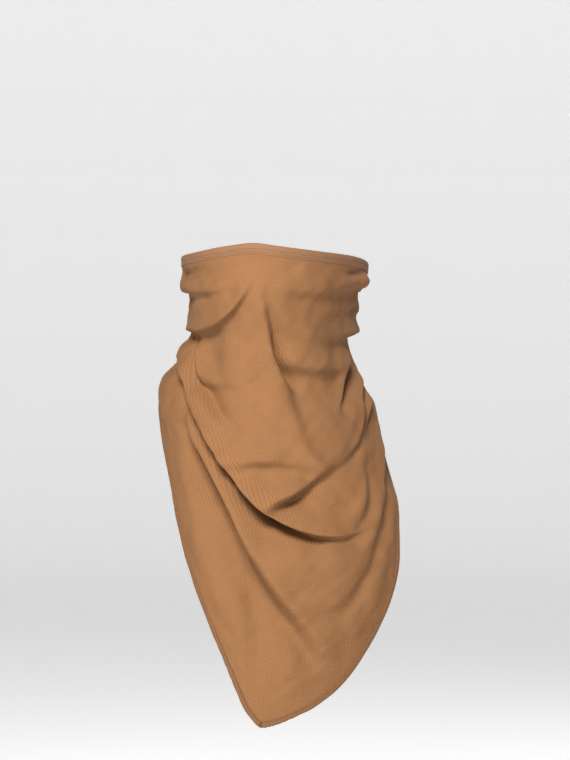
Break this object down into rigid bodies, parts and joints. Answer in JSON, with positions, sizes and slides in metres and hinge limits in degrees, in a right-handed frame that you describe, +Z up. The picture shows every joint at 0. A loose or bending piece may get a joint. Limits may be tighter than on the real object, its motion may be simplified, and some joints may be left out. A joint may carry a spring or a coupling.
{
  "type": "face mask",
  "caption": "Soft knit tube mask with an elastic top band over the nose and a long pointed bib with a rolled hem, in its worn drape.",
  "frame": {"origin": "middle of the head opening, at the height of the band's top edge beside the ears", "axes": "+Z up out of the head opening, -Y the way the wearer faces, +X the wearer's left"},
  "size_m": [0.1968, 0.1911, 0.3684],
  "materials": {
    "body_knit": "matte",
    "binding_knit": "matte",
    "elastic": "matte",
    "thread": "satin"
  },
  "bodies": {
    "neck": {"face_tube": "body_knit", "neck_body": "body_knit", "bib_fold": "body_knit", "hem_back": "body_knit", "hem_back_stitch": "thread", "hem_right_upper": "body_knit", "hem_right_upper_stitch": "thread", "hem_left_upper": "body_knit", "hem_left_upper_stitch": "thread", "back_seam": "body_knit", "back_seam_thread": "thread"},
    "top_band": {"top_binding": "binding_knit", "elastic_tape": "elastic", "binding_stitch_lower": "thread", "binding_stitch_upper": "thread", "binding_tack": "thread"},
    "bib": {"bib": "body_knit", "hem_right_lower": "body_knit", "hem_right_lower_stitch": "thread", "hem_left_lower": "body_knit", "hem_left_lower_stitch": "thread", "tip_tack": "thread"}
  },
  "joints": [
    {"name": "band_pull_down", "type": "hinge", "parent": "neck", "child": "top_band", "pos_m": [0, 0.085, -0.014], "axis": [1, 0, 0], "range_deg": [0, 26], "deforming": ["face_tube"]},
    {"name": "bib_lift", "type": "hinge", "parent": "neck", "child": "bib", "pos_m": [0, -0.08, -0.24], "axis": [1, 0, 0], "range_deg": [-75, 0], "deforming": ["bib_fold"]}
  ]
}
